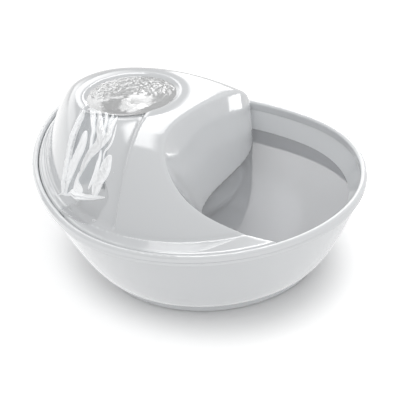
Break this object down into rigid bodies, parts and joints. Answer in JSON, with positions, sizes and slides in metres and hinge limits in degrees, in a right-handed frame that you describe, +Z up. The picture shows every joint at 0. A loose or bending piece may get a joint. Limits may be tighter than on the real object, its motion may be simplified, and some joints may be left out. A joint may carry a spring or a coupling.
{
  "type": "pet water fountain",
  "caption": "Raindrop-shaped pet water fountain: an open drinking bowl under a domed hood with an upper dish and cascade, fed by a pump and filter inside.",
  "frame": {"origin": "middle of the bowl's width and total length, on the table", "axes": "+Y towards the pointed end, +X to the right of it, +Z up"},
  "size_m": [0.26, 0.335, 0.129],
  "materials": {
    "white_gloss": "glossy",
    "white_matte": "matte",
    "pale_grey": "satin",
    "clear_tube": "satin",
    "grey_rubber": "matte",
    "foam": "fibrous",
    "carbon": "granular",
    "pump_black": "satin",
    "core_steel": "laminated",
    "coil_copper": "enamelled wire",
    "magnet": "matte",
    "impeller_white": "satin",
    "shaft_steel": "polished",
    "dial_grey": "satin"
  },
  "bodies": {
    "fountain": {"bowl": "white_gloss", "bowl_rim": "white_gloss", "foot_pads": "grey_rubber", "cord_grommet": "grey_rubber", "filter_housing": "pale_grey", "housing_lid": "pale_grey", "riser_tube": "clear_tube", "pump_body": "pump_black", "pump_back_plate": "pump_black", "volute_cover": "pump_black", "pump_seal": "grey_rubber", "stator_core": "core_steel", "stator_coil": "coil_copper", "rotor_shaft": "shaft_steel", "shaft_bushings": "grey_rubber", "strainer": "pump_black", "suction_cups": "grey_rubber", "pump_gland": "grey_rubber"},
    "hood": {"hood": "white_gloss", "upper_dish": "white_gloss", "bubbler": "white_gloss"},
    "cartridge": {"cartridge_frame_front": "white_matte", "cartridge_frame_back": "white_matte", "filter_foam": "foam", "filter_carbon": "carbon"},
    "rotor": {"impeller": "impeller_white", "rotor_magnet": "magnet"},
    "dial": {"flow_dial": "dial_grey"}
  },
  "joints": [
    {"name": "hood_lift", "type": "slide", "parent": "fountain", "child": "hood", "axis": [0, 0, 1], "range_m": [0, 0.15]},
    {"name": "cartridge_lift", "type": "slide", "parent": "fountain", "child": "cartridge", "axis": [0, 0, 1], "range_m": [0, 0.036]},
    {"name": "rotor_spin", "type": "hinge", "parent": "fountain", "child": "rotor", "pos_m": [-0.019, 0.03345, 0.03195], "axis": [1, 0, 0], "continuous": true},
    {"name": "dial_turn", "type": "hinge", "parent": "fountain", "child": "dial", "pos_m": [-0.0345, 0.03345, 0.03195], "axis": [1, 0, 0], "range_deg": [0, 45]}
  ]
}
